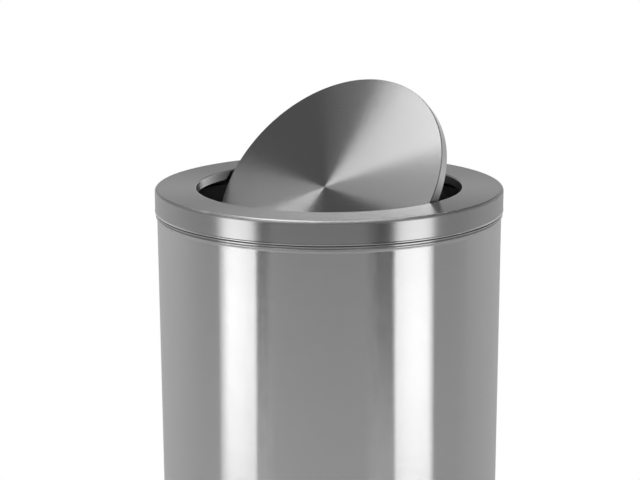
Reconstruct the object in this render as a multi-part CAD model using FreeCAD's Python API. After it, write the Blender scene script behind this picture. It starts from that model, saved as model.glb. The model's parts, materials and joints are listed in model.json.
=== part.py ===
import FreeCAD, Part
import math
import os

# Swing-top trash can: a round steel can with a lift-off lid, and in the lid a round flap
# that swings both ways on a cross axle and falls shut under a hanging counterweight.
# Millimetres. The origin is the centre of the can on the floor, Z is up, X runs along the axle.

# Can body
BODY_RADIUS = 188.0
BODY_SHEET = 0.8
BEAD_HEIGHT = 3.8
BEAD_RISE = 1.6
BEAD_FOOT_RADIUS = 4.0
GROOVE_HEIGHT = 1.1
SEAM_WIDTH = 4.0
SEAM_RISE = 0.3

# Neck ring that carries the lid
NECK_SHEET = 0.8
NECK_OVERLAP = 34.0
NECK_HEM = 5.0
SEAT_REACH = 1.7
SEAT_THICKNESS = 0.8

# Lid
LID_TOP = 750.0
LID_SHEET = 1.0
LID_EDGE_RADIUS = 3.0
SKIRT_DEPTH = 24.9
HEM_DEPTH = 6.0
HEM_ROLL = 2.2
HEM_SWELL = 0.3
LID_SLIDE_GAP = 0.8
LID_REST_GAP = 0.3
LID_SEAT_GAP = 1.0
THROAT_RADIUS = 145.2
THROAT_EDGE_RADIUS = 1.2
THROAT_DEPTH = 10.0

# Base
BASE_RING_HEIGHT = 18.0
BASE_RING_WALL = 2.5
BASE_RING_FLOOR = 4.0
BASE_RING_INNER_HEIGHT = 10.0
BASE_RING_FOOT = 7.0
PAN_SHEET = 1.0
PAN_HEIGHT = 16.0
PAN_DISH_RADIUS = 110.0
PAN_DISH_RISE = 5.0
PAN_DISH_SLOPE = 10.0
ASSEMBLY_GAP = 0.1

# Inner liner
LINER_WALL = 2.0
LINER_FLOOR = 2.5
LINER_LIP_GAP = 5.0
LINER_LIP_REACH = 5.5
LINER_LIP_DROP = 9.0
LINER_TAPER = 9.0
LINER_BELOW_LID = 62.0
LINER_PUSH_UP = 8.0
LINER_STAND_WIDTH = 24.0
LINER_REST_GAP = 0.3
HAND_HOLD_WIDTH = 96.0
HAND_HOLD_HEIGHT = 28.0
HAND_HOLD_DROP = 36.0

# Flap and its axle
FLAP_GAP = 2.5
FLAP_SHEET = 0.8
FLAP_EDGE_RADIUS = 1.0
FLAP_RIM_DEPTH = 11.4
FLAP_OPEN_DEG = 50.4
PIVOT_DROP = 7.2
ROD_RADIUS = 3.0
ROD_RUNNING_GAP = 0.05
FIT_GAP = 0.03
SADDLE_SHEET = 1.2
SADDLE_LENGTH = 14.0
SADDLE_FOOT = 12.0
SADDLE_INSET = 28.0

# Pivot brackets and bushes
BRACKET_SHEET = 2.0
BRACKET_WIDTH = 30.0
BRACKET_FOOT = 22.0
BRACKET_RELIEF = 15.0
BRACKET_STEM_WIDTH = 12.0
BRACKET_SHOULDER = 10.0
STOP_DROP = 28.0
STOP_WIDTH = 5.0
STOP_REACH = 9.0
BUSH_WALL = 1.2
BUSH_FLANGE_RADIUS = 5.8
BUSH_FLANGE_THICKNESS = 3.0
BUSH_TAIL = 1.5
BUSH_NOTCH_GAP = 0.5
BUSH_FACE_GAP = 0.6
CLIP_RADIUS = 5.6
CLIP_THICKNESS = 0.8
CLIP_GAP = 0.5
CLIP_SLOTS = 6
CLIP_SLOT_WIDTH = 1.0
ROD_END = 2.0

# Counterweight and its hangers
WEIGHT_LENGTH = 180.0
WEIGHT_WIDTH = 30.0
WEIGHT_HEIGHT = 12.0
WEIGHT_EDGE = 1.5
WEIGHT_DROP = 15.0
HANGER_SHEET = 1.5
HANGER_WIDTH = 28.0
HANGER_FOOT = 12.0
HANGER_LENGTH = 20.0
HANGER_SPACING = 120.0
SCREW_RADIUS = 3.0
SCREW_HOLE_GAP = 0.2
HEX_FLATS = 10.0
SCREW_HEAD_HEIGHT = 4.0
NUT_HEIGHT = 5.0
SCREW_END = 1.0

# Sizes that follow from the ones above
NECK_RADIUS = BODY_RADIUS - BODY_SHEET
LID_RADIUS = NECK_RADIUS + LID_SLIDE_GAP + 2 * LID_SHEET
SKIRT_BOTTOM = LID_TOP - SKIRT_DEPTH
SEAT_TOP = SKIRT_BOTTOM - LID_SEAT_GAP
BODY_TOP = SEAT_TOP - SEAT_THICKNESS
BEAD_TOP = BODY_TOP - GROOVE_HEIGHT
NECK_TOP = LID_TOP - LID_SHEET - LID_REST_GAP
NECK_INNER = NECK_RADIUS - 2 * NECK_SHEET
PIVOT_Z = LID_TOP - PIVOT_DROP
FLAP_RADIUS = THROAT_RADIUS - FLAP_GAP
FLAP_UNDER = LID_TOP - FLAP_SHEET
BUSH_RADIUS = ROD_RADIUS + ROD_RUNNING_GAP + BUSH_WALL
BRACKET_FACE = THROAT_RADIUS + LID_SHEET + BUSH_FLANGE_THICKNESS + BUSH_NOTCH_GAP
BUSH_OUTER_END = BRACKET_FACE + BRACKET_SHEET + BUSH_TAIL
CLIP_FACE = BUSH_OUTER_END + CLIP_GAP
ROD_TIP = CLIP_FACE + CLIP_THICKNESS + ROD_END
WEIGHT_TOP = PIVOT_Z - WEIGHT_DROP

PIVOT = FreeCAD.Vector(0, 0, PIVOT_Z)
X_AXIS = FreeCAD.Vector(1, 0, 0)
Y_AXIS = FreeCAD.Vector(0, 1, 0)
Z_AXIS = FreeCAD.Vector(0, 0, 1)
SIDES = (("left", -1), ("right", 1))


# Outlines and solids

def in_xz(u, v):
    """A point of an outline drawn in the XZ plane."""
    return FreeCAD.Vector(u, 0, v)


def in_yz(u, v):
    """A point of an outline drawn in the YZ plane."""
    return FreeCAD.Vector(0, u, v)


def outline_face(corners, plane):
    """A face with straight sides, whose corners are (u, v) or, where rounded, (u, v, radius)."""
    starts = []
    middles = []
    ends = []
    count = len(corners)
    for index, corner in enumerate(corners):
        here = plane(corner[0], corner[1])
        if len(corner) == 2:
            starts.append(here)
            middles.append(None)
            ends.append(here)
            continue
        before = corners[index - 1]
        after = corners[(index + 1) % count]
        back = (plane(before[0], before[1]) - here).normalize()
        ahead = (plane(after[0], after[1]) - here).normalize()
        half_angle = back.getAngle(ahead) / 2
        inward = (back + ahead).normalize()
        radius = corner[2]
        reach = radius / math.tan(half_angle)
        starts.append(here + back * reach)
        middles.append(here + inward * (radius / math.sin(half_angle) - radius))
        ends.append(here + ahead * reach)
    edges = []
    for index in range(count):
        if middles[index] is not None:
            edges.append(Part.Arc(starts[index], middles[index], ends[index]).toShape())
        following = starts[(index + 1) % count]
        edges.append(Part.makeLine(ends[index], following))
    return Part.Face(Part.Wire(edges))


def turned(corners):
    """A solid of revolution about Z from an outline of (radius, height) corners."""
    return outline_face(corners, in_xz).revolve(FreeCAD.Vector(), Z_AXIS, 360)


def turned_on_axle(corners, side):
    """A solid of revolution about the axle from an outline of (distance out, radius) corners."""
    solid = outline_face(corners, in_xz).revolve(FreeCAD.Vector(), X_AXIS, 360)
    if side < 0:
        solid.rotate(FreeCAD.Vector(), Z_AXIS, 180)
    solid.translate(PIVOT)
    return solid


def strip_along_axle(corners, centre, length):
    """A strip with a constant section in the YZ plane, centred on one place along the axle."""
    solid = outline_face(corners, in_yz).extrude(X_AXIS * length)
    solid.translate(FreeCAD.Vector(centre - length / 2, 0, 0))
    return solid


def box_between(low, high):
    """An upright box from its lowest to its highest corner."""
    size = [high[axis] - low[axis] for axis in range(3)]
    return Part.makeBox(size[0], size[1], size[2], FreeCAD.Vector(low[0], low[1], low[2]))


def axle_cylinder(radius, inner, outer):
    """A cylinder on the axle line between two places along it."""
    start = FreeCAD.Vector(inner, 0, PIVOT_Z)
    return Part.makeCylinder(radius, outer - inner, start, X_AXIS)


def hexagon(flats, height, base):
    """A hexagonal prism standing on its base point, measured across its flats."""
    corner_radius = flats / math.sqrt(3)
    points = []
    for step in range(7):
        angle = math.radians(60 * step)
        points.append(base + FreeCAD.Vector(corner_radius * math.cos(angle),
                                            corner_radius * math.sin(angle), 0))
    return Part.Face(Part.makePolygon(points)).extrude(Z_AXIS * height)


# Can pieces

def body_shell():
    """Rolled steel wall with a swaged bead, a short plain edge above the bead, and a weld behind."""
    inside = BODY_RADIUS - BODY_SHEET
    crest = BODY_RADIUS + BEAD_RISE
    crest_inside = crest - BODY_SHEET
    bead_foot = BEAD_TOP - BEAD_HEIGHT
    crest_low = bead_foot + 0.50 * BEAD_HEIGHT
    crest_high = bead_foot + 0.74 * BEAD_HEIGHT
    wall = turned([
        (BODY_RADIUS, BASE_RING_FLOOR),
        (BODY_RADIUS, bead_foot, BEAD_FOOT_RADIUS),
        (crest, crest_low, 1.0),
        (crest, crest_high, 0.6),
        (BODY_RADIUS, BEAD_TOP, 0.3),
        (BODY_RADIUS, BODY_TOP),
        (inside, BODY_TOP),
        (inside, BEAD_TOP),
        (crest_inside, crest_high),
        (crest_inside, crest_low),
        (inside, bead_foot, BEAD_FOOT_RADIUS),
        (inside, BASE_RING_FLOOR),
    ])
    seam = box_between((-SEAM_WIDTH / 2, BODY_RADIUS - BODY_SHEET / 2, BASE_RING_HEIGHT + 1),
                       (SEAM_WIDTH / 2, BODY_RADIUS + SEAM_RISE, bead_foot - 2))
    return wall.fuse(seam).removeSplitter()


def neck_ring():
    """Band welded inside the wall: its fold sits on the wall's edge and its hem carries the lid."""
    seat_radius = BODY_RADIUS + SEAT_REACH
    middle = NECK_RADIUS - NECK_SHEET
    bottom = BODY_TOP - NECK_OVERLAP
    return turned([
        (NECK_RADIUS, bottom),
        (NECK_RADIUS, BODY_TOP),
        (seat_radius, BODY_TOP, 0.35),
        (seat_radius, SEAT_TOP, 0.35),
        (NECK_RADIUS, SEAT_TOP),
        (NECK_RADIUS, NECK_TOP, 0.7),
        (NECK_INNER, NECK_TOP, 0.7),
        (NECK_INNER, NECK_TOP - NECK_HEM),
        (middle, NECK_TOP - NECK_HEM),
        (middle, bottom),
    ])


def base_pan():
    """Pressed floor of the can: a stiffening dish in the middle and a flange welded to the wall."""
    flange = BODY_RADIUS - BODY_SHEET - ASSEMBLY_GAP
    slope_end = PAN_DISH_RADIUS + PAN_DISH_SLOPE
    dish_top = PAN_HEIGHT + PAN_DISH_RISE
    return turned([
        (0, dish_top - PAN_SHEET),
        (PAN_DISH_RADIUS, dish_top - PAN_SHEET),
        (slope_end, PAN_HEIGHT - PAN_SHEET),
        (flange - PAN_SHEET, PAN_HEIGHT - PAN_SHEET),
        (flange - PAN_SHEET, BASE_RING_FLOOR),
        (flange, BASE_RING_FLOOR),
        (flange, PAN_HEIGHT, 3.0),
        (slope_end, PAN_HEIGHT),
        (PAN_DISH_RADIUS, dish_top),
        (0, dish_top),
    ])


def base_ring():
    """Moulded floor ring, pushed on over the lower edge of the wall and the pan."""
    slot_outer = BODY_RADIUS + ASSEMBLY_GAP
    slot_inner = BODY_RADIUS - BODY_SHEET - PAN_SHEET - 2 * ASSEMBLY_GAP
    outer = slot_outer + BASE_RING_WALL
    inner = slot_inner - BASE_RING_FOOT
    return turned([
        (inner, 0, 1.5),
        (outer, 0, 1.5),
        (outer, BASE_RING_HEIGHT, 1.5),
        (slot_outer, BASE_RING_HEIGHT),
        (slot_outer, BASE_RING_FLOOR),
        (slot_inner, BASE_RING_FLOOR),
        (slot_inner, BASE_RING_INNER_HEIGHT),
        (inner, BASE_RING_INNER_HEIGHT),
    ])


def liner():
    """Tapered moulded bucket standing on the pan, with a turned-down lip and two hand holds."""
    lip = NECK_INNER - LINER_LIP_GAP
    top_radius = lip - LINER_LIP_REACH
    bottom_radius = top_radius - LINER_TAPER
    bottom = PAN_HEIGHT + LINER_REST_GAP
    top = LID_TOP - LINER_BELOW_LID
    stand = bottom_radius - LINER_STAND_WIDTH
    push_end = stand - LINER_PUSH_UP
    raised = bottom + LINER_PUSH_UP
    bucket = turned([
        (0, raised),
        (push_end, raised),
        (stand, bottom),
        (bottom_radius, bottom, 8.0),
        (top_radius, top - LINER_WALL),
        (lip - LINER_WALL, top - LINER_WALL),
        (lip - LINER_WALL, top - LINER_LIP_DROP),
        (lip, top - LINER_LIP_DROP),
        (lip, top, 2.5),
        (top_radius - LINER_WALL, top, 1.0),
        (bottom_radius - LINER_WALL, bottom + LINER_FLOOR, 6.0),
        (stand, bottom + LINER_FLOOR),
        (push_end, raised + LINER_FLOOR),
        (0, raised + LINER_FLOOR),
    ])
    half = HAND_HOLD_WIDTH / 2
    middle = top - HAND_HOLD_DROP
    low = middle - HAND_HOLD_HEIGHT / 2
    high = middle + HAND_HOLD_HEIGHT / 2
    corner = HAND_HOLD_HEIGHT / 2 - 0.5
    hold = outline_face([(-half, low, corner), (half, low, corner),
                         (half, high, corner), (-half, high, corner)], in_xz)
    cutter = hold.extrude(Y_AXIS * (4 * lip))
    cutter.translate(Y_AXIS * (-2 * lip))
    return bucket.cut(cutter)


# Lid pieces

def lid_cover():
    """Pressed lid ring: flat top, skirt with a swelling hem, and a throat flange notched for the axle."""
    hem_outside = LID_RADIUS + HEM_SWELL
    skirt_inside = LID_RADIUS - LID_SHEET
    hem_inside = LID_RADIUS - 2 * LID_SHEET
    underside = LID_TOP - LID_SHEET
    throat_bottom = LID_TOP - THROAT_DEPTH
    throat_outside = THROAT_RADIUS + LID_SHEET
    cover = turned([
        (THROAT_RADIUS, throat_bottom),
        (THROAT_RADIUS, LID_TOP, THROAT_EDGE_RADIUS),
        (LID_RADIUS, LID_TOP, LID_EDGE_RADIUS),
        (LID_RADIUS, SKIRT_BOTTOM + HEM_ROLL, 2.0),
        (hem_outside, SKIRT_BOTTOM + HEM_ROLL / 2),
        (hem_outside, SKIRT_BOTTOM, 0.7),
        (hem_inside, SKIRT_BOTTOM, 0.9),
        (hem_inside, SKIRT_BOTTOM + HEM_DEPTH),
        (skirt_inside, SKIRT_BOTTOM + HEM_DEPTH),
        (skirt_inside, underside),
        (throat_outside, underside),
        (throat_outside, throat_bottom),
    ])
    notch_radius = BUSH_RADIUS + BUSH_NOTCH_GAP
    for name, side in SIDES:
        inner, outer = sorted((side * (THROAT_RADIUS - 3), side * (throat_outside + 1)))
        notch = axle_cylinder(notch_radius, inner, outer)
        below = box_between((inner, -notch_radius, throat_bottom - 1),
                            (outer, notch_radius, PIVOT_Z))
        cover = cover.cut(notch.fuse(below))
    return cover


def pivot_bracket(side):
    """Folded bracket with two feet welded under the lid, a bush hole, and a stop tongue below."""
    underside = LID_TOP - LID_SHEET
    stop_top = PIVOT_Z - STOP_DROP
    shoulder = PIVOT_Z - BRACKET_SHOULDER
    half = BRACKET_WIDTH / 2
    half_stem = BRACKET_STEM_WIDTH / 2
    leg = outline_face([
        (-half, underside),
        (half, underside),
        (half, shoulder, 4.0),
        (half_stem, shoulder, 3.0),
        (half_stem, stop_top - BRACKET_SHEET),
        (-half_stem, stop_top - BRACKET_SHEET),
        (-half_stem, shoulder, 3.0),
        (-half, shoulder, 4.0),
    ], in_yz).extrude(X_AXIS * BRACKET_SHEET)
    leg.translate(X_AXIS * BRACKET_FACE)
    leg = leg.cut(axle_cylinder(BUSH_RADIUS + FIT_GAP, BRACKET_FACE - 1,
                                BRACKET_FACE + BRACKET_SHEET + 1))
    foot = box_between((BRACKET_FACE, -half, underside - BRACKET_SHEET),
                       (BRACKET_FACE + BRACKET_FOOT, half, underside))
    relief = box_between((BRACKET_FACE + BRACKET_SHEET, -BRACKET_RELIEF / 2, underside - 2 * BRACKET_SHEET),
                         (BRACKET_FACE + BRACKET_FOOT + 1, BRACKET_RELIEF / 2, underside + 1))
    foot = foot.cut(relief)
    tongue = box_between((FLAP_RADIUS - STOP_REACH, -STOP_WIDTH / 2, stop_top - BRACKET_SHEET),
                         (BRACKET_FACE + BRACKET_SHEET, STOP_WIDTH / 2, stop_top))
    bracket = leg.fuse([foot, tongue]).removeSplitter()
    if side < 0:
        bracket.rotate(FreeCAD.Vector(), Z_AXIS, 180)
    return bracket


def pivot_bush(side):
    """Flanged plain bearing: its nose reaches through the throat notch and spaces the flap."""
    bore = ROD_RADIUS + ROD_RUNNING_GAP
    nose = FLAP_RADIUS + BUSH_FACE_GAP
    flange_start = BRACKET_FACE - BUSH_FLANGE_THICKNESS
    return turned_on_axle([
        (nose, bore),
        (BUSH_OUTER_END, bore),
        (BUSH_OUTER_END, BUSH_RADIUS, 0.5),
        (BRACKET_FACE, BUSH_RADIUS),
        (BRACKET_FACE, BUSH_FLANGE_RADIUS),
        (flange_start, BUSH_FLANGE_RADIUS, 0.6),
        (flange_start, BUSH_RADIUS),
        (nose, BUSH_RADIUS, 0.5),
    ], side)


# Flap pieces, drawn with the flap shut

def flap_disc():
    """Flat round flap with a turned-down rim, drilled for the axle."""
    rim_bottom = LID_TOP - FLAP_RIM_DEPTH
    disc = turned([
        (0, LID_TOP),
        (FLAP_RADIUS, LID_TOP, FLAP_EDGE_RADIUS),
        (FLAP_RADIUS, rim_bottom),
        (FLAP_RADIUS - FLAP_SHEET, rim_bottom),
        (FLAP_RADIUS - FLAP_SHEET, FLAP_UNDER, FLAP_EDGE_RADIUS - FLAP_SHEET),
        (0, FLAP_UNDER),
    ])
    return disc.cut(axle_cylinder(ROD_RADIUS + ROD_RUNNING_GAP, -LID_RADIUS, LID_RADIUS))


def axle_rod():
    """Round bar across the whole flap, chamfered at both ends."""
    rod = axle_cylinder(ROD_RADIUS, -ROD_TIP, ROD_TIP)
    ends = [edge for edge in rod.Edges if abs(abs(edge.CenterOfMass.x) - ROD_TIP) < 0.01]
    return rod.makeChamfer(0.6, ends)


def axle_saddle(side):
    """Strap bent round the axle, with two feet welded under the flap."""
    centre = side * (FLAP_RADIUS - SADDLE_INSET)
    bore = ROD_RADIUS + ROD_RUNNING_GAP
    outer = bore + SADDLE_SHEET
    feet = strip_along_axle([
        (-outer - SADDLE_FOOT, FLAP_UNDER - SADDLE_SHEET),
        (outer + SADDLE_FOOT, FLAP_UNDER - SADDLE_SHEET),
        (outer + SADDLE_FOOT, FLAP_UNDER),
        (-outer - SADDLE_FOOT, FLAP_UNDER),
    ], centre, SADDLE_LENGTH)
    start = centre - SADDLE_LENGTH / 2
    end = centre + SADDLE_LENGTH / 2
    cheeks = box_between((start, -outer, PIVOT_Z), (end, outer, FLAP_UNDER))
    hollow = box_between((start, -bore, PIVOT_Z), (end, bore, FLAP_UNDER))
    strap = feet.fuse([cheeks, axle_cylinder(outer, start, end)])
    return strap.cut(hollow.fuse(axle_cylinder(bore, start, end))).removeSplitter()


def axle_clip(side):
    """Push-on retaining washer with slotted teeth."""
    washer = turned_on_axle([
        (CLIP_FACE, ROD_RADIUS + FIT_GAP),
        (CLIP_FACE + CLIP_THICKNESS, ROD_RADIUS + FIT_GAP),
        (CLIP_FACE + CLIP_THICKNESS, CLIP_RADIUS),
        (CLIP_FACE, CLIP_RADIUS),
    ], side)
    slot_reach = (ROD_RADIUS + CLIP_RADIUS) / 2
    inner, outer = sorted((side * (CLIP_FACE - 1), side * (CLIP_FACE + CLIP_THICKNESS + 1)))
    for step in range(CLIP_SLOTS):
        slot = box_between((inner, -CLIP_SLOT_WIDTH / 2, PIVOT_Z),
                           (outer, CLIP_SLOT_WIDTH / 2, PIVOT_Z + slot_reach))
        slot.rotate(PIVOT, X_AXIS, 360 * step / CLIP_SLOTS)
        washer = washer.cut(slot)
    return washer


def weight_hanger(side):
    """Hat-shaped strap welded under the flap, with the counterweight screwed to its web."""
    half = HANGER_WIDTH / 2
    inside = half - HANGER_SHEET
    foot = half + HANGER_FOOT
    web = WEIGHT_TOP + HANGER_SHEET
    foot_bottom = FLAP_UNDER - HANGER_SHEET
    centre = side * HANGER_SPACING / 2
    strap = strip_along_axle([
        (-foot, FLAP_UNDER),
        (-inside, FLAP_UNDER, 2.0),
        (-inside, web, 1.0),
        (inside, web, 1.0),
        (inside, FLAP_UNDER, 2.0),
        (foot, FLAP_UNDER),
        (foot, foot_bottom),
        (half, foot_bottom, 0.5),
        (half, WEIGHT_TOP, 2.5),
        (-half, WEIGHT_TOP, 2.5),
        (-half, foot_bottom, 0.5),
        (-foot, foot_bottom),
    ], centre, HANGER_LENGTH)
    return strap.cut(screw_cylinder(side, SCREW_RADIUS + SCREW_HOLE_GAP, WEIGHT_TOP - 1, web + 1))


def screw_cylinder(side, radius, low, high):
    """A vertical cylinder on one of the two screw lines."""
    base = FreeCAD.Vector(side * HANGER_SPACING / 2, 0, low)
    return Part.makeCylinder(radius, high - low, base)


def counterweight():
    """Flat steel bar with eased edges and two screw holes."""
    half = WEIGHT_WIDTH / 2
    low = WEIGHT_TOP - WEIGHT_HEIGHT
    bar = strip_along_axle([
        (-half, low, WEIGHT_EDGE),
        (half, low, WEIGHT_EDGE),
        (half, WEIGHT_TOP, WEIGHT_EDGE),
        (-half, WEIGHT_TOP, WEIGHT_EDGE),
    ], 0, WEIGHT_LENGTH)
    for name, side in SIDES:
        bar = bar.cut(screw_cylinder(side, SCREW_RADIUS + SCREW_HOLE_GAP, low - 1, WEIGHT_TOP + 1))
    return bar


def counterweight_screws():
    """Two hexagon screws, heads below the bar."""
    low = WEIGHT_TOP - WEIGHT_HEIGHT
    tip = WEIGHT_TOP + HANGER_SHEET + NUT_HEIGHT + SCREW_END
    screws = []
    for name, side in SIDES:
        base = FreeCAD.Vector(side * HANGER_SPACING / 2, 0, low - SCREW_HEAD_HEIGHT)
        head = hexagon(HEX_FLATS, SCREW_HEAD_HEIGHT, base)
        shank = screw_cylinder(side, SCREW_RADIUS, low - SCREW_HEAD_HEIGHT / 2, tip)
        screws.append(head.fuse(shank).removeSplitter())
    return Part.makeCompound(screws)


def counterweight_nuts():
    """Two hexagon nuts on the webs of the hangers."""
    low = WEIGHT_TOP + HANGER_SHEET
    nuts = []
    for name, side in SIDES:
        base = FreeCAD.Vector(side * HANGER_SPACING / 2, 0, low)
        nut = hexagon(HEX_FLATS, NUT_HEIGHT, base)
        nuts.append(nut.cut(screw_cylinder(side, SCREW_RADIUS + FIT_GAP, low - 1,
                                           low + NUT_HEIGHT + 1)))
    return Part.makeCompound(nuts)


# Assembly

def fixed_pieces():
    """Pieces of the can, the liner and the lid, each in its place."""
    pieces = {
        "body_shell": body_shell(),
        "neck_ring": neck_ring(),
        "base_pan": base_pan(),
        "base_ring": base_ring(),
        "liner": liner(),
        "lid_cover": lid_cover(),
    }
    for name, side in SIDES:
        pieces["pivot_bracket_" + name] = pivot_bracket(side)
        pieces["pivot_bush_" + name] = pivot_bush(side)
    return pieces


def swinging_pieces():
    """Pieces that swing with the flap, turned from shut to the open rest pose."""
    pieces = {
        "flap_disc": flap_disc(),
        "axle_rod": axle_rod(),
        "counterweight": counterweight(),
        "counterweight_screws": counterweight_screws(),
        "counterweight_nuts": counterweight_nuts(),
    }
    for name, side in SIDES:
        pieces["axle_saddle_" + name] = axle_saddle(side)
        pieces["axle_clip_" + name] = axle_clip(side)
        pieces["weight_hanger_" + name] = weight_hanger(side)
    for shape in pieces.values():
        shape.rotate(PIVOT, X_AXIS, FLAP_OPEN_DEG)
    return pieces


os.makedirs("parts", exist_ok=True)
for node, shape in {**fixed_pieces(), **swinging_pieces()}.items():
    shape.exportStep("parts/" + node + ".step")
    bounds = shape.optimalBoundingBox()
    print(node, shape.isValid(), len(shape.Solids), "solids",
          [round(value, 1) for value in (bounds.XMin, bounds.XMax, bounds.YMin, bounds.YMax,
                                         bounds.ZMin, bounds.ZMax)],
          round(shape.Volume / 1000, 1), "cm3")
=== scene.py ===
"""Looks of the swing-top trash can: finishes for every piece, a pale studio and the photograph's camera."""

import json
import math

import bpy
from mathutils import Euler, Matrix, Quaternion, Vector

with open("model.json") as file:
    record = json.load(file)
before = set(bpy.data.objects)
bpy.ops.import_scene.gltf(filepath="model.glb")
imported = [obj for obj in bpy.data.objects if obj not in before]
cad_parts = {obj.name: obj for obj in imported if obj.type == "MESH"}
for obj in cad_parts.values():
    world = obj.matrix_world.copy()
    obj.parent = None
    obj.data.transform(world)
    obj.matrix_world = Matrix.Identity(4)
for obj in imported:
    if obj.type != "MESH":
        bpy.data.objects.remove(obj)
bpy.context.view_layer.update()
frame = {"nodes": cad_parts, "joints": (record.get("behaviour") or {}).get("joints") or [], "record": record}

nodes = frame["nodes"]

# Places read from the frame: the flap is shut at the middle of its range
ORIGIN = Vector((0, 0, 0))
UP = Vector((0, 0, 1))
flap_swing = next(joint for joint in frame["joints"] if joint["name"] == "flap_swing")
PIVOT = Vector(flap_swing["pos_m"])
AXLE = Vector(flap_swing["axis"])
SHUT_ANGLE = math.radians(sum(flap_swing["range_deg"]) / 2)
FLAP_AXIS = Quaternion(AXLE, -SHUT_ANGLE) @ UP

# The flap's circles of brushing are centred a little off its middle, as in the photograph
SPUN_SHIFT_ALONG_AXLE = -0.0018
SPUN_SHIFT_ACROSS_AXLE = 0.0007
SPUN_SHIFT = AXLE * SPUN_SHIFT_ALONG_AXLE + FLAP_AXIS.cross(AXLE) * SPUN_SHIFT_ACROSS_AXLE
SPUN_CENTRE = PIVOT + SPUN_SHIFT

# Camera, in metres and degrees
CAMERA_AZIMUTH = 41.5
CAMERA_DISTANCE = 1.697
CAMERA_HEIGHT = 1.079
CAMERA_PITCH = 12.98
CAMERA_YAW = 0.34
CAMERA_ROLL = -0.21
CAMERA_REACH = 200
LENS_MM = 88.77
SENSOR_MM = 36

# Studio directions: towards the camera, and to its right
azimuth = math.radians(CAMERA_AZIMUTH)
TOWARDS_CAMERA = Vector((math.sin(azimuth), -math.cos(azimuth), 0))
TO_RIGHT = Vector((math.cos(azimuth), math.sin(azimuth), 0))

# The span in which most of a noise texture's values lie
NOISE_LOW = 0.3
NOISE_HIGH = 0.7

# Grains per metre along X, Y and Z of sheet rolled and bar drawn along X
SHEET_GRAINS = (40, 900, 900)
ROD_GRAINS = (12, 1500, 1500)


# Helpers for shader nodes

def add(tree, kind, inputs=None, **settings):
    """Adds a node, with its settings and with its inputs linked or set."""
    node = tree.nodes.new(kind)
    for name, value in settings.items():
        setattr(node, name, value)
    for key, value in (inputs or {}).items():
        if isinstance(value, bpy.types.NodeSocket):
            tree.links.new(value, node.inputs[key])
        else:
            node.inputs[key].default_value = value
    return node


def calculate(tree, operation, *values):
    """A Math node's result."""
    node = add(tree, "ShaderNodeMath", dict(enumerate(values)), operation=operation)
    return node.outputs[0]


def calculate_vector(tree, operation, *values):
    """A Vector Math node that takes vectors and gives a vector."""
    node = add(tree, "ShaderNodeVectorMath", dict(enumerate(values)), operation=operation)
    return node.outputs["Vector"]


def length_of(tree, vector):
    """A vector's length."""
    return add(tree, "ShaderNodeVectorMath", {0: vector}, operation="LENGTH").outputs["Value"]


def along(tree, vector, axis):
    """How far a vector goes along an axis."""
    inputs = {0: vector, 1: axis}
    return add(tree, "ShaderNodeVectorMath", inputs, operation="DOT_PRODUCT").outputs["Value"]


def from_axis(tree, offset, axis):
    """The distance from an axis, for an offset from a point on it."""
    return length_of(tree, calculate_vector(tree, "CROSS_PRODUCT", axis, offset))


def object_place(tree):
    """The point that is shaded, in the part's own frame."""
    return add(tree, "ShaderNodeTexCoord").outputs["Object"]


def noise(tree, vector, scale, detail=2.0):
    """Smooth noise from 0 to 1."""
    inputs = {"Vector": vector, "Scale": scale, "Detail": detail}
    return add(tree, "ShaderNodeTexNoise", inputs).outputs["Fac"]


def stretched_noise(tree, place, grains, detail=2.0):
    """Noise whose grains are drawn out: their number per metre is given along X, Y and Z."""
    return noise(tree, calculate_vector(tree, "MULTIPLY", place, grains), 1.0, detail)


def blend(tree, share, low, high):
    """A value between low and high."""
    inputs = {"Value": share, "To Min": low, "To Max": high}
    return add(tree, "ShaderNodeMapRange", inputs).outputs["Result"]


def spread(tree, value, low, high):
    """Takes a noise value's usual span to low..high."""
    inputs = {"Value": value, "From Min": NOISE_LOW, "From Max": NOISE_HIGH, "To Min": low, "To Max": high}
    return add(tree, "ShaderNodeMapRange", inputs).outputs["Result"]


def vary(tree, value, middle, change):
    """Takes a noise value's usual span to as much below a middle as above it."""
    return spread(tree, value, middle - change, middle + change)


def smooth_step(tree, value, low, high):
    """0 below low and 1 above high, with a smooth rise between."""
    inputs = {"Value": value, "From Min": low, "From Max": high}
    return add(tree, "ShaderNodeMapRange", inputs, interpolation_type="SMOOTHSTEP").outputs["Result"]


def nearing(tree, value, limit, begins, ends):
    """0 well below a limit and 1 close to it: the rise begins and ends at these distances below it."""
    return smooth_step(tree, value, limit - begins, limit - ends)


def leaving(tree, value, limit, begins, ends):
    """0 close to a limit and 1 well above it: the rise begins and ends at these distances above it."""
    return smooth_step(tree, value, limit + begins, limit + ends)


def grey(tree, value):
    """The same value in all three colours."""
    return add(tree, "ShaderNodeCombineColor", {0: value, 1: value, 2: value}).outputs["Color"]


def relief(tree, height, strength, depth):
    """A bumped normal from a height map, with the depth in metres."""
    inputs = {"Height": height, "Strength": strength, "Distance": depth}
    return add(tree, "ShaderNodeBump", inputs).outputs["Normal"]


def level_at(tree, share, stops):
    """A value that follows a list of (place, level) stops."""
    ramp = add(tree, "ShaderNodeValToRGB", {"Fac": share})
    for place, _ in stops[1:-1]:
        ramp.color_ramp.elements.new(place)
    for element, (place, level) in zip(ramp.color_ramp.elements, stops):
        element.position = place
        element.color = (level, level, level, 1)
    return ramp.outputs["Color"]


def new_material(name):
    """A material and its node tree, which is empty."""
    material = bpy.data.materials.new(name)
    material.use_nodes = True
    material.node_tree.nodes.clear()
    return material, material.node_tree


def set_surface(tree, shader):
    """Sends a shader to the material's surface."""
    output = add(tree, "ShaderNodeOutputMaterial")
    tree.links.new(shader, output.inputs["Surface"])


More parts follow.
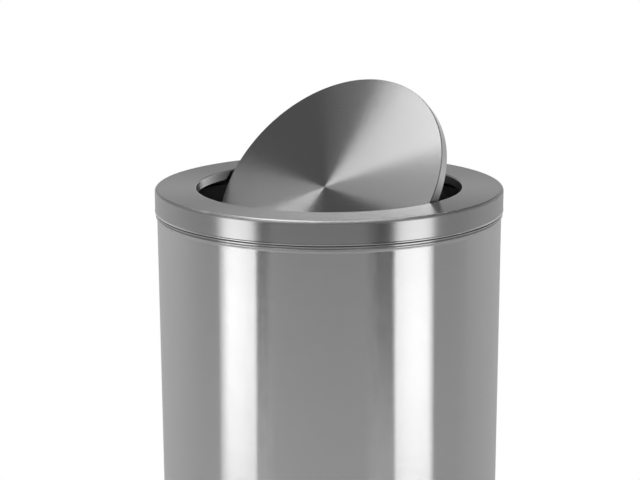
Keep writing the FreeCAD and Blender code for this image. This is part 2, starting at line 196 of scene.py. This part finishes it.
def finish(tree, colour, metallic, roughness, **more):
    """Sends a surface shader to the material: more holds further inputs, with _ for spaces."""
    inputs = {"Base Color": colour, "Metallic": metallic, "Roughness": roughness}
    for name, value in more.items():
        inputs[name.replace("_", " ")] = value
    set_surface(tree, add(tree, "ShaderNodeBsdfPrincipled", inputs).outputs[0])


# Brushed steel, the places where it differs, and painted light and shade on it

def scratched_normal(tree, height, around, slope):
    """The surface's normal, tilted at random across scratches too fine to see, with a usual slope."""
    scratch_width = 0.000001
    widest = 0.97
    along_scratch = calculate_vector(tree, "NORMALIZE", around)
    normal = add(tree, "ShaderNodeNewGeometry").outputs["Normal"]
    across_scratch = calculate_vector(tree, "CROSS_PRODUCT", normal, along_scratch)
    scratch = calculate(tree, "FLOOR", calculate(tree, "DIVIDE", height, scratch_width))
    dice = add(tree, "ShaderNodeTexWhiteNoise", {"W": scratch}, noise_dimensions="1D").outputs["Value"]
    side = blend(tree, dice, -widest, widest)
    rest = calculate(tree, "SUBTRACT", 1.0, calculate(tree, "MULTIPLY", side, side))
    tilt = calculate(tree, "DIVIDE", calculate(tree, "MULTIPLY", side, slope), calculate(tree, "SQRT", rest))
    lean_inputs = {0: across_scratch, "Scale": tilt}
    lean = add(tree, "ShaderNodeVectorMath", lean_inputs, operation="SCALE").outputs["Vector"]
    return calculate_vector(tree, "NORMALIZE", calculate_vector(tree, "ADD", normal, lean))


def world_direction(tree, vector):
    """A direction in the part's own frame, turned to the world's."""
    turned = add(
        tree,
        "ShaderNodeVectorTransform",
        {"Vector": vector},
        vector_type="VECTOR",
        convert_from="OBJECT",
        convert_to="WORLD",
    )
    return turned.outputs["Vector"]


def brushed_steel(name, centre, axis, colour, roughness, anisotropy, zone=None, painted_light=None, slope=None):
    """Stainless sheet with a satin brushed round an axis.

    A zone gives a share with another roughness, painted light makes places lighter or darker with painted
    highlights and shade, and a slope adds fine scratches.
    """
    streak_change = 0.009
    band_change = 0.005
    rough_change = 0.002
    quarter_turn = 0.25
    material, tree = new_material(name)
    offset = calculate_vector(tree, "SUBTRACT", object_place(tree), centre)
    around = calculate_vector(tree, "CROSS_PRODUCT", axis, offset)
    height = along(tree, offset, axis)

    # The brushing is fine across: up a wall, and outwards on a flat face
    across = calculate(tree, "ADD", length_of(tree, around), height)
    split = add(tree, "ShaderNodeSeparateXYZ", {0: offset}).outputs
    unrolled = add(tree, "ShaderNodeCombineXYZ", {0: split[0], 1: split[1], 2: across}).outputs[0]
    streaks = stretched_noise(tree, unrolled, grains=(9, 9, 1500), detail=3.0)
    bands = stretched_noise(tree, unrolled, grains=(4, 4, 260))
    handled = noise(tree, offset, scale=14.0, detail=3.0)
    streaked = vary(tree, streaks, colour, colour * streak_change)
    shade = calculate(tree, "MULTIPLY", streaked, vary(tree, bands, 1.0, band_change))
    banded = vary(tree, bands, roughness, rough_change)
    rough = calculate(tree, "ADD", banded, vary(tree, handled, 0.0, rough_change))
    if zone:
        share, zone_roughness = zone(tree, offset)
        rough = blend(tree, share, rough, zone_roughness)
    # Painted light: painted highlights and painted shade multiply the colour
    if painted_light:
        shade = calculate(tree, "MULTIPLY", shade, painted_light(tree, offset))
    tangent = world_direction(tree, around)
    more = {"Anisotropic": anisotropy, "Anisotropic_Rotation": quarter_turn, "Tangent": tangent}
    if slope:
        more["Normal"] = scratched_normal(tree, height, tangent, slope)
    finish(tree, grey(tree, shade), metallic=1.0, roughness=rough, **more)
    return material


def mesh_corners(node_name):
    """The corners of a node's mesh, in the part's own frame."""
    return [vertex.co for vertex in nodes[node_name].data.vertices]


def near_flap_edge(tree, offset, begins, ends):
    """1 at the flap's outer edge: it is measured from the flap's own middle, not its brushing's."""
    edge = max(corner.x for corner in mesh_corners("flap_disc"))
    from_middle = calculate_vector(tree, "ADD", offset, SPUN_SHIFT)
    return nearing(tree, from_axis(tree, from_middle, FLAP_AXIS), edge, begins, ends)


def polished_rim(tree, offset):
    """The flap's turned-down rim is smoother than its face."""
    rim_roughness = 0.16
    return near_flap_edge(tree, offset, begins=0.0012, ends=0.0002), rim_roughness


def painted_rim_light_and_bend_shade(tree, offset):
    """Painted light on the flap: the turned-down rim is painted a little lighter, and the bend between the
    face and the rim is painted darker, a line of painted shade.
    """
    rim_painted_light = 1.1
    bend_painted_shade = 0.42
    face = max((corner - SPUN_CENTRE).dot(FLAP_AXIS) for corner in mesh_corners("flap_disc"))
    near_edge = near_flap_edge(tree, offset, begins=0.0012, ends=0.0008)
    near_face = nearing(tree, along(tree, offset, FLAP_AXIS), face, begins=0.0011, ends=0.0007)
    return blend(tree, near_edge, 1.0, blend(tree, near_face, rim_painted_light, bend_painted_shade))


def weld_line(tree, offset):
    """The upright weld at the back is duller than the wall, with a soft edge."""
    weld_roughness = 0.42
    back_starts = 0.15
    split = add(tree, "ShaderNodeSeparateXYZ", {0: offset}).outputs
    sideways = calculate(tree, "ABSOLUTE", split[0])
    clear_of_weld = smooth_step(tree, sideways, low=0.002, high=0.005)
    near = calculate(tree, "SUBTRACT", 1.0, clear_of_weld)
    behind = calculate(tree, "GREATER_THAN", split[1], back_starts)
    return calculate(tree, "MULTIPLY", near, behind), weld_roughness


def painted_neck_shade_and_fold_highlight(tree, offset):
    """Painted light on the neck ring: its fold is painted lighter outside and below, a painted highlight,
    and the neck is painted dark with painted shade where it rises from the fold.
    """
    foot_painted_shade = 0.12
    fold_painted_highlight = 1.35
    edge_width = 0.0005
    corners = mesh_corners("neck_ring")
    edge = max(corner.xy.length for corner in corners)
    fold = max(corner.z for corner in corners if corner.xy.length > edge - edge_width)
    height = along(tree, offset, UP)
    outside = nearing(tree, from_axis(tree, offset, UP), edge, begins=0.0007, ends=0.0003)
    below = calculate(tree, "LESS_THAN", height, fold - edge_width)
    above = leaving(tree, height, fold, begins=0.002, ends=0.003)
    highlighted = calculate(tree, "MAXIMUM", outside, below)
    return blend(tree, highlighted, blend(tree, above, foot_painted_shade, 1.0), fold_painted_highlight)


def dull_edge(tree, offset):
    """The bend between the lid's top and its skirt is duller than both."""
    bend_roughness = 0.45
    bend_height = 0.005
    corners = mesh_corners("lid_cover")
    top = max(corner.z for corner in corners)
    edge = max(corner.xy.length for corner in corners if corner.z > top - bend_height)
    outside = nearing(tree, from_axis(tree, offset, UP), edge, begins=0.0032, ends=0.0022)
    above = nearing(tree, along(tree, offset, UP), top, begins=0.0034, ends=0.0024)
    return calculate(tree, "MULTIPLY", outside, above), bend_roughness


def painted_hem_highlight(tree, offset):
    """The rolled hem under the lid's skirt is painted lighter: a painted highlight."""
    hem_painted_highlight = 1.5
    skirt_inside = 0.185
    bottom = min(corner.z for corner in mesh_corners("lid_cover") if corner.xy.length > skirt_inside)
    above = leaving(tree, along(tree, offset, UP), bottom, begins=0.001, ends=0.0024)
    return blend(tree, above, hem_painted_highlight, 1.0)


# Other finishes

def rolled_steel(name, colour, roughness, grains):
    """Plain cold-rolled or drawn steel: fine lines along the way it was worked, and dull patches."""
    line_change = 0.06
    patch_change = 0.07
    line_rough_change = 0.03
    patch_rough_change = 0.05
    material, tree = new_material(name)
    place = object_place(tree)
    lines = stretched_noise(tree, place, grains, detail=3.0)
    patches = noise(tree, place, scale=60.0, detail=4.0)
    lined = vary(tree, lines, colour, colour * line_change)
    shade = calculate(tree, "MULTIPLY", lined, vary(tree, patches, 1.0, patch_change))
    lined_rough = vary(tree, lines, roughness, line_rough_change)
    rough = calculate(tree, "ADD", lined_rough, vary(tree, patches, 0.0, patch_rough_change))
    normal = relief(tree, lines, strength=0.08, depth=0.0002)
    finish(tree, grey(tree, shade), metallic=1.0, roughness=rough, Normal=normal)
    return material


def zinc_plate():
    """Bright zinc: small crystal cells, a faint warm and cool tint, and a fine grain."""
    warm = (0.66, 0.64, 0.58, 1)
    cool = (0.58, 0.60, 0.63, 1)
    cells_per_metre = 900.0
    material, tree = new_material("zinc_plate")
    place = object_place(tree)
    cell_inputs = {"Vector": place, "Scale": cells_per_metre}
    cells = add(tree, "ShaderNodeTexVoronoi", cell_inputs).outputs["Color"]
    cell_level = add(tree, "ShaderNodeSeparateColor", {0: cells}).outputs[0]
    tint = spread(tree, noise(tree, place, scale=160.0), 0.0, 1.0)
    colour = add(tree, "ShaderNodeMix", {0: tint, 6: warm, 7: cool}, data_type="RGBA").outputs[2]
    rough = blend(tree, cell_level, low=0.26, high=0.4)
    normal = relief(tree, noise(tree, place, scale=2400.0), strength=0.06, depth=0.0002)
    finish(tree, colour, metallic=1.0, roughness=rough, Normal=normal)
    return material


def black_paint():
    """Black paint on a steel bar: a faint orange-peel surface with small dull scuffs."""
    scuff_roughness = 0.25
    material, tree = new_material("black_paint")
    place = object_place(tree)
    peel = noise(tree, place, scale=420.0)
    wear = stretched_noise(tree, place, grains=(40, 260, 260), detail=5.0)
    scuffs = smooth_step(tree, wear, low=0.62, high=0.72)
    paint_rough = spread(tree, peel, low=0.3, high=0.38)
    rough = calculate(tree, "ADD", paint_rough, calculate(tree, "MULTIPLY", scuffs, scuff_roughness))
    colour = grey(tree, blend(tree, scuffs, low=0.024, high=0.07))
    normal = relief(tree, peel, strength=0.15, depth=0.0003)
    finish(tree, colour, metallic=0.0, roughness=rough, Normal=normal)
    return material


def moulded_grain():
    """Black moulded plastic with a fine leathery grain."""
    cells_per_metre = 1100.0
    material, tree = new_material("moulded_black")
    place = object_place(tree)
    cell_inputs = {"Vector": place, "Scale": cells_per_metre}
    cells = add(tree, "ShaderNodeTexVoronoi", cell_inputs, feature="SMOOTH_F1")
    highlighted = noise(tree, place, scale=30.0, detail=4.0)
    colour = grey(tree, spread(tree, highlighted, low=0.017, high=0.025))
    rough = spread(tree, highlighted, low=0.5, high=0.62)
    normal = relief(tree, cells.outputs["Distance"], strength=0.25, depth=0.0003)
    finish(tree, colour, metallic=0.0, roughness=rough, Normal=normal)
    return material


def liner_plastic():
    """Deep black liner, smooth and dull, with faint upright flow marks from its mould."""
    shine = 0.12
    material, tree = new_material("liner_black")
    place = object_place(tree)
    flow = stretched_noise(tree, place, grains=(70, 70, 4), detail=3.0)
    colour = grey(tree, spread(tree, flow, low=0.003, high=0.005))
    rough = spread(tree, flow, low=0.58, high=0.7)
    normal = relief(tree, noise(tree, place, scale=900.0), strength=0.05, depth=0.0002)
    finish(tree, colour, metallic=0.0, roughness=rough, Normal=normal, Specular_IOR_Level=shine)
    return material


def turned_plastic():
    """Black bearing plastic with fine rings left by turning about the axle."""
    material, tree = new_material("bush_black")
    offset = calculate_vector(tree, "SUBTRACT", object_place(tree), PIVOT)
    across = calculate(tree, "ADD", from_axis(tree, offset, AXLE), along(tree, offset, AXLE))
    unrolled = add(tree, "ShaderNodeCombineXYZ", {2: across}).outputs[0]
    rings = noise(tree, unrolled, scale=3000.0)
    colour = grey(tree, spread(tree, rings, low=0.017, high=0.024))
    rough = spread(tree, rings, low=0.36, high=0.48)
    normal = relief(tree, rings, strength=0.1, depth=0.0002)
    finish(tree, colour, metallic=0.0, roughness=rough, Normal=normal)
    return material


def give_finishes():
    """Gives each node the finish of its slot: the lid, the neck and the axle have finishes of their own."""
    finishes = {
        "brushed_steel": brushed_steel(
            "wall_steel", ORIGIN, UP, colour=0.647, roughness=0.15, anisotropy=1.0,
            zone=weld_line, slope=0.17
        ),
        # The neck carries painted shade in the gap under the lid and a painted highlight on its fold
        "neck_steel": brushed_steel(
            "neck_steel", ORIGIN, UP, colour=0.489, roughness=0.3, anisotropy=0.7, painted_light=painted_neck_shade_and_fold_highlight
        ),
        # The lid's rolled hem carries a painted highlight
        "lid_steel": brushed_steel(
            "lid_steel", ORIGIN, UP, colour=0.489, roughness=0.266, anisotropy=0.807,
            zone=dull_edge, painted_light=painted_hem_highlight
        ),
        # The flap's rim carries painted light, and its bend a painted line of shade
        "spun_steel": brushed_steel(
            "spun_steel", SPUN_CENTRE, FLAP_AXIS, colour=0.456, roughness=0.2527, anisotropy=0.991,
            zone=polished_rim, painted_light=painted_rim_light_and_bend_shade
        ),
        "plain_steel": rolled_steel("sheet_steel", colour=0.42, roughness=0.42, grains=SHEET_GRAINS),
        "drawn_steel": rolled_steel("drawn_steel", colour=0.5, roughness=0.3, grains=ROD_GRAINS),
        "zinc_steel": zinc_plate(),
        "weight_iron": black_paint(),
        "black_plastic": moulded_grain(),
        "liner_plastic": liner_plastic(),
        "bush_plastic": turned_plastic(),
    }
    finish_of_node = {row["node"]: row["material_slot"] for row in frame["record"]["subparts"]}
    finish_of_node["lid_cover"] = "lid_steel"
    finish_of_node["neck_ring"] = "neck_steel"
    finish_of_node["axle_rod"] = "drawn_steel"
    for node_name, node_object in nodes.items():
        node_object.data.materials.clear()
        node_object.data.materials.append(finishes[finish_of_node[node_name]])


# The studio

def at_bearing(bearing, distance, height):
    """A place at an angle to the right of the camera's direction, seen from the can."""
    turn = math.radians(bearing)
    level_direction = TO_RIGHT * math.sin(turn) + TOWARDS_CAMERA * math.cos(turn)
    return level_direction * distance + UP * height


def four_sided(name, corners):
    """A flat piece of the studio."""
    mesh = bpy.data.meshes.new(name)
    mesh.from_pydata(corners, [], [(0, 1, 2, 3)])
    piece = bpy.data.objects.new(name, mesh)
    bpy.context.scene.collection.objects.link(piece)
    return piece


def share_of_reach(tree, place, start, reach):
    """0 at the start of a reach and 1 at its end."""
    from_start = calculate_vector(tree, "SUBTRACT", place, start)
    return calculate(tree, "DIVIDE", along(tree, from_start, reach), reach.length_squared)


def softbox(name, place, target, width, height, brightness):
    """A plain rectangular lamp that faces a target, as bright as a surface of that value."""
    lamp = bpy.data.lights.new(name, "AREA")
    lamp.shape = "RECTANGLE"
    lamp.size = width
    lamp.size_y = height
    lamp.energy = brightness * math.pi * width * height
    box = bpy.data.objects.new(name, lamp)
    box.location = place
    box.rotation_mode = "QUATERNION"
    box.rotation_quaternion = (target - place).to_track_quat("-Z", "Y")
    box.visible_camera = False
    bpy.context.scene.collection.objects.link(box)
    return box


def dim_edges(lamp, edge, reach, levels):
    """Makes a lamp weaker at its edges: the levels go from its inner edge over its whole reach."""
    lamp.use_nodes = True
    tree = lamp.node_tree
    place = add(tree, "ShaderNodeNewGeometry").outputs["Position"]
    level = level_at(tree, share_of_reach(tree, place, edge, reach), levels)
    tree.links.new(level, tree.nodes["Emission"].inputs["Strength"])


def make_card(name, edge, reach):
    """A black card with a pale foot that only reflections see: it fades out away from the lamp's edge."""
    high = 1.3
    foot_high = 0.1
    foot_brightness = 2.3
    fade_starts = 0.4
    black_colour = (0.02, 0.02, 0.02, 1)
    corners = []
    for step, height in ((0, 0), (1, 0), (1, high), (0, high)):
        corner = edge + reach * step
        corners.append((corner.x, corner.y, height))
    card = four_sided(name, corners)
    material, tree = new_material(name)
    place = object_place(tree)
    clear = smooth_step(tree, share_of_reach(tree, place, edge, reach), fade_starts, 1.0)
    upper = calculate(tree, "GREATER_THAN", along(tree, place, UP), foot_high)
    black = add(tree, "ShaderNodeBsdfDiffuse", {"Color": black_colour}).outputs[0]
    pale = add(tree, "ShaderNodeEmission", {"Strength": foot_brightness}).outputs[0]
    glass = add(tree, "ShaderNodeBsdfTransparent").outputs[0]
    face = add(tree, "ShaderNodeMixShader", {0: upper, 1: pale, 2: black}).outputs[0]
    set_surface(tree, add(tree, "ShaderNodeMixShader", {0: clear, 1: face, 2: glass}).outputs[0])
    card.data.materials.append(material)
    card.visible_camera = False
    card.visible_shadow = False
    card.visible_diffuse = False


def upright_box(name, bearing, distance, width, height, brightness, levels, card_width):
    """An upright lamp that dims towards its edges, with a card beside the edge nearer to the camera."""
    place = at_bearing(bearing, distance, height / 2)
    box = softbox(name, place, UP * height / 2, width, height, brightness)
    inward = -90 if bearing > 0 else 90
    across = at_bearing(bearing + inward, 1, 0)
    edge = place + across * width / 2
    dim_edges(box.data, edge, -across * width, levels)
    make_card(name + "_flag", edge, across * card_width)


def make_lamps():
    """Two upright boxes beside the can and four far above it, to the left, behind and overhead."""
    aim_height = 0.8
    aim = UP * aim_height
    left_levels = [(0.0, 0.75), (0.2, 0.9), (0.5, 1.0), (0.76, 1.0), (1.0, 0.28)]
    right_levels = [(0.0, 0.72), (0.22, 0.92), (0.5, 1.0), (0.85, 0.96), (1.0, 0.7)]
    upright_box(
        "left_box", bearing=-58.3, distance=1.456, width=0.68, height=0.613, brightness=2.0,
        levels=left_levels, card_width=0.33
    )
    upright_box(
        "right_box", bearing=52.8, distance=1.246, width=0.585, height=0.671, brightness=1.78,
        levels=right_levels, card_width=0.52
    )
    top = at_bearing(-119.1, distance=2.9, height=6.4)
    softbox("top_box", top, aim, width=2.74, height=2.43, brightness=3.75)
    back = at_bearing(-163, distance=3.81, height=5.65)
    softbox("back_box", back, aim, width=3.87, height=2.77, brightness=1.65)
    overhead = at_bearing(50, distance=1.4, height=7.24)
    softbox("overhead_box", overhead, aim, width=4.0, height=4.8, brightness=1.1)
    overhead_left = at_bearing(-62, distance=2.88, height=7.24)
    softbox("overhead_left_box", overhead_left, aim, width=3.2, height=3.2, brightness=2.2)


def make_world():
    """Pale near the horizon behind the can, and darker in front and above."""
    front_stops = [(0.0, 0.28), (0.12, 0.28), (0.4, 0.15), (1.0, 0.154)]
    back_stops = [(0.0, 1.0), (0.05, 0.9), (0.12, 0.5), (0.4, 0.15), (1.0, 0.154)]
    world = bpy.data.worlds.new("studio_world")
    bpy.context.scene.world = world
    world.use_nodes = True
    tree = world.node_tree
    tree.nodes.clear()
    direction = add(tree, "ShaderNodeTexCoord").outputs["Generated"]
    rise = along(tree, direction, UP)
    behind = smooth_step(tree, along(tree, direction, -TOWARDS_CAMERA), low=-0.1, high=0.5)
    front = level_at(tree, rise, front_stops)
    back = level_at(tree, rise, back_stops)
    mixed = add(tree, "ShaderNodeMix", {0: behind, 6: front, 7: back}, data_type="RGBA").outputs[2]
    background = add(tree, "ShaderNodeBackground", {"Color": mixed, "Strength": 1.0})
    output = add(tree, "ShaderNodeOutputWorld")
    tree.links.new(background.outputs[0], output.inputs["Surface"])


def floor_in_mirrors(tree, place, reach):
    """How white the floor is in reflections: it depends on the side of the can and on the distance."""
    side_level = 0.18
    away = along(tree, place, -TOWARDS_CAMERA)
    backwards = calculate(tree, "DIVIDE", away, reach)
    front_level = blend(tree, smooth_step(tree, reach, low=1.0, high=3.5), low=0.36, high=0.0)
    aside = smooth_step(tree, backwards, low=-0.85, high=-0.4)
    before_level = blend(tree, aside, front_level, side_level)
    back_level = blend(tree, smooth_step(tree, reach, low=4.0, high=12.0), low=0.22, high=1.0)
    behind = smooth_step(tree, backwards, low=-0.1, high=0.95)
    return blend(tree, behind, before_level, back_level)


def make_floor():
    """A pale floor that goes white away from the can, for the camera and, in part, for reflections."""
    half = 40.0
    pale_share = 0.65
    paper_colour = (0.55, 0.55, 0.55, 1)
    white_colour = (1, 1, 1, 1)
    floor = four_sided("floor", [(-half, -half, 0), (half, -half, 0), (half, half, 0), (-half, half, 0)])
    material, tree = new_material("floor_paper")
    place = object_place(tree)
    reach = length_of(tree, place)
    clear_of_can = smooth_step(tree, reach, low=0.5, high=1.0)
    mirrored = calculate(tree, "MULTIPLY", floor_in_mirrors(tree, place, reach), clear_of_can)
    rays = add(tree, "ShaderNodeLightPath").outputs
    bent = calculate(tree, "MAXIMUM", rays["Is Glossy Ray"], rays["Is Transmission Ray"])
    in_mirrors = calculate(tree, "MULTIPLY", bent, mirrored)
    seen = blend(tree, clear_of_can, pale_share, 1.0)
    for_camera = calculate(tree, "MULTIPLY", rays["Is Camera Ray"], seen)
    share = calculate(tree, "MAXIMUM", for_camera, in_mirrors)
    paper = add(tree, "ShaderNodeBsdfDiffuse", {"Color": paper_colour}).outputs[0]
    white = add(tree, "ShaderNodeEmission", {"Color": white_colour, "Strength": 1.0}).outputs[0]
    set_surface(tree, add(tree, "ShaderNodeMixShader", {0: share, 1: paper, 2: white}).outputs[0])
    floor.data.materials.append(material)


def make_camera():
    """The photograph's camera."""
    data = bpy.data.cameras.new("camera")
    data.sensor_width = SENSOR_MM
    data.lens = LENS_MM
    data.clip_end = CAMERA_REACH
    camera = bpy.data.objects.new("camera", data)
    camera.location = TOWARDS_CAMERA * CAMERA_DISTANCE + UP * CAMERA_HEIGHT
    pitch = math.radians(90 - CAMERA_PITCH)
    heading = math.radians(CAMERA_AZIMUTH + CAMERA_YAW)
    level = Euler((pitch, 0, heading)).to_quaternion()
    camera.rotation_mode = "QUATERNION"
    camera.rotation_quaternion = level @ Quaternion((0, 0, 1), math.radians(CAMERA_ROLL))
    bpy.context.scene.collection.objects.link(camera)
    bpy.context.scene.camera = camera


give_finishes()
make_lamps()
make_world()
make_floor()
make_camera()
bpy.context.scene.view_settings.view_transform = "Standard"
